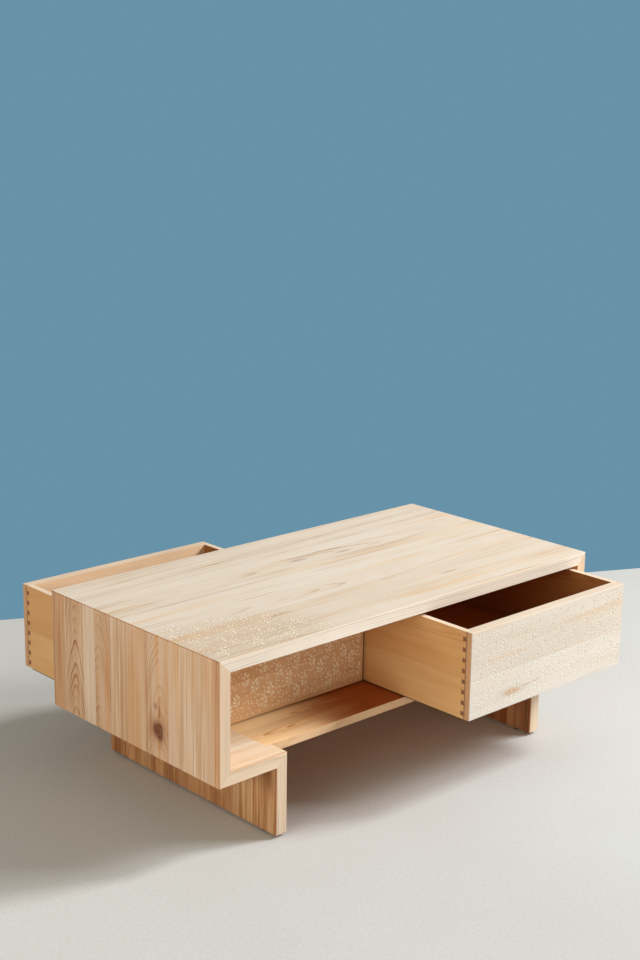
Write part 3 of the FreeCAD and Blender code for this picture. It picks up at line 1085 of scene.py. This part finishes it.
bottom_wood = wood(
    "drawer_bottom_wood", "XYZ", bottom_staves, floor_colours, drawer_floor, seed=10.0,
    rings=0.5,
)
block_wood = wood(
    "joint_hardwood", "XYZ", block_staves, block_colours, board_top, seed=11.0,
    rings=0.3, bands=0.3,
)
rubber = plain_material(
    "bumper_rubber", shade(52, 50, 48), shade(38, 37, 36), scale=900.0, roughness=0.8
)
steel = plain_material(
    "screw_steel", shade(196, 196, 198), shade(150, 150, 154), scale=700.0, roughness=0.35, metal=1.0
)
glide = plain_material(
    "glide_plastic", shade(58, 54, 50), shade(44, 41, 38), scale=800.0, roughness=0.6
)
slip = plain_material(
    "slip_plastic", shade(84, 62, 44), shade(66, 48, 34), scale=600.0, roughness=0.45
)

dress(board_wood, "left_bottom_board", "right_bottom_board")
dress(shelf_wood, "centre_shelf")
dress(block_wood, "shelf_dowels")
dress(steel, "guide_block_screws", "glide_screws")
# the left drawer's front and its cuts carry painted warm shade
panel_colours = {
    "left_drawer_front": niche_shade_colours,
    "left_drawer_back": back_colours,
    "right_drawer_back": back_colours,
}
panel_cut_colours = {"left_drawer_front": niche_shade_cut_colours}
# the drawer panels' inner faces get painted light
panel_inners = {"front": front_inner_painted_light, "back": back_inner_painted_light}
drawer_knots = {"left": (), "right": front_knots}
# the right leg's staves carry painted light and shade
leg_staves = {"left": case_staves, "right": right_leg_lit_and_shaded_staves}
outward = {"left": -1, "right": 1}
for number, hand in enumerate(("left", "right")):
    seed = drawer_seed + drawer_seed_step * number
    face = outward[hand] * end_face
    knots = end_knots if hand == "left" else ()
    dress(
        wood(
            f"{hand}_end_wood", "ZYX", case_staves, end_colours, face, seed=2.0 + number,
            rings=0.9, bands=1.15, warmth=1.1, knots=knots, edges=lit_edge_cream, seam=mitre_line,
            inner=(-outward[hand], case_inner),
        ),
        f"{hand}_end_panel",
    )
    leg_low, leg_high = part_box(f"{hand}_leg_board")
    leg_face = leg_low.x if hand == "left" else leg_high.x
    dress(
        wood(
            f"{hand}_leg_wood", "ZYX", leg_staves[hand], leg_painted_shade_colours, leg_face, seed=5.0 + number,
            rings=0.85, bands=1.6, edges=leg_lit_edge_cream, inner=(-outward[hand], leg_inner_painted_shade),
        ),
        f"{hand}_leg_board",
    )
    for joint in ("top", "lower", "leg"):
        dress(block_wood, f"{hand}_{joint}_spline")
    dress(block_wood, f"{hand}_guide_block")
    dress(rubber, f"{hand}_block_bumpers")
    for end in ("front", "back"):
        dress(glide, f"{end}_{hand}_glide")
    drawer = f"{hand}_drawer"
    dress(bottom_wood, f"{drawer}_bottom")
    dress(steel, f"{drawer}_rail_screws")
    for count, side in enumerate(("left", "right")):
        node = f"{drawer}_{side}_side"
        low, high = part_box(node)
        face = low.x if side == "left" else high.x
        inward = 1 if side == "left" else -1
        # the sides' inner faces get the painted shade of the drawers' insides
        dress(
            wood(
                f"{node}_wood", "YZX", side_staves, side_colours, face, seed + count,
                rings=0.35, bands=0.4, warmth=0.3, edges=side_lit_edge_cream, inner=(inward, side_inner_painted_shade),
            ),
            node,
        )
        dress(block_wood, f"{drawer}_{side}_rail")
        dress(slip, f"{drawer}_{side}_slip_strip")
    for count, end in enumerate(("front", "back")):
        node = f"{drawer}_{end}"
        low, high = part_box(node)
        face = low.y if end == "front" else high.y
        turned = 1 if end == "front" else -1
        knots = drawer_knots[hand] if end == "front" else ()
        mark = seed + panel_seed_step + count
        panel_wood = wood(
            f"{node}_wood", "XZY", front_staves, panel_colours.get(node, pale_colours), face, mark,
            rings=0.55, bands=0.5, warmth=0.5, knots=knots, ends=panel_ends, edges=panel_lit_edge_cream,
            inner=(turned, panel_inners[end]),
        )
        colours = panel_cut_colours.get(node, cut_colours)
        cut_wood = wood(
            f"{node}_cut_wood", "XZY", front_staves, colours, face, mark,
            rings=0.4, bands=0.3, warmth=0.2, knots=knots,
        )
        carve(
            node, f"carved_{node}", (turned, 0, 0), (0, 0, 1), (0, -turned, 0),
            panel_cuts(round(mark)), (panel_wood, cut_wood), drawer,
        )
carve(
    "table_top", "carved_top", (1, 0, 0), (0, 1, 0), (0, 0, 1), corner_cuts,
    (top_wood, top_cut), "table_frame",
)
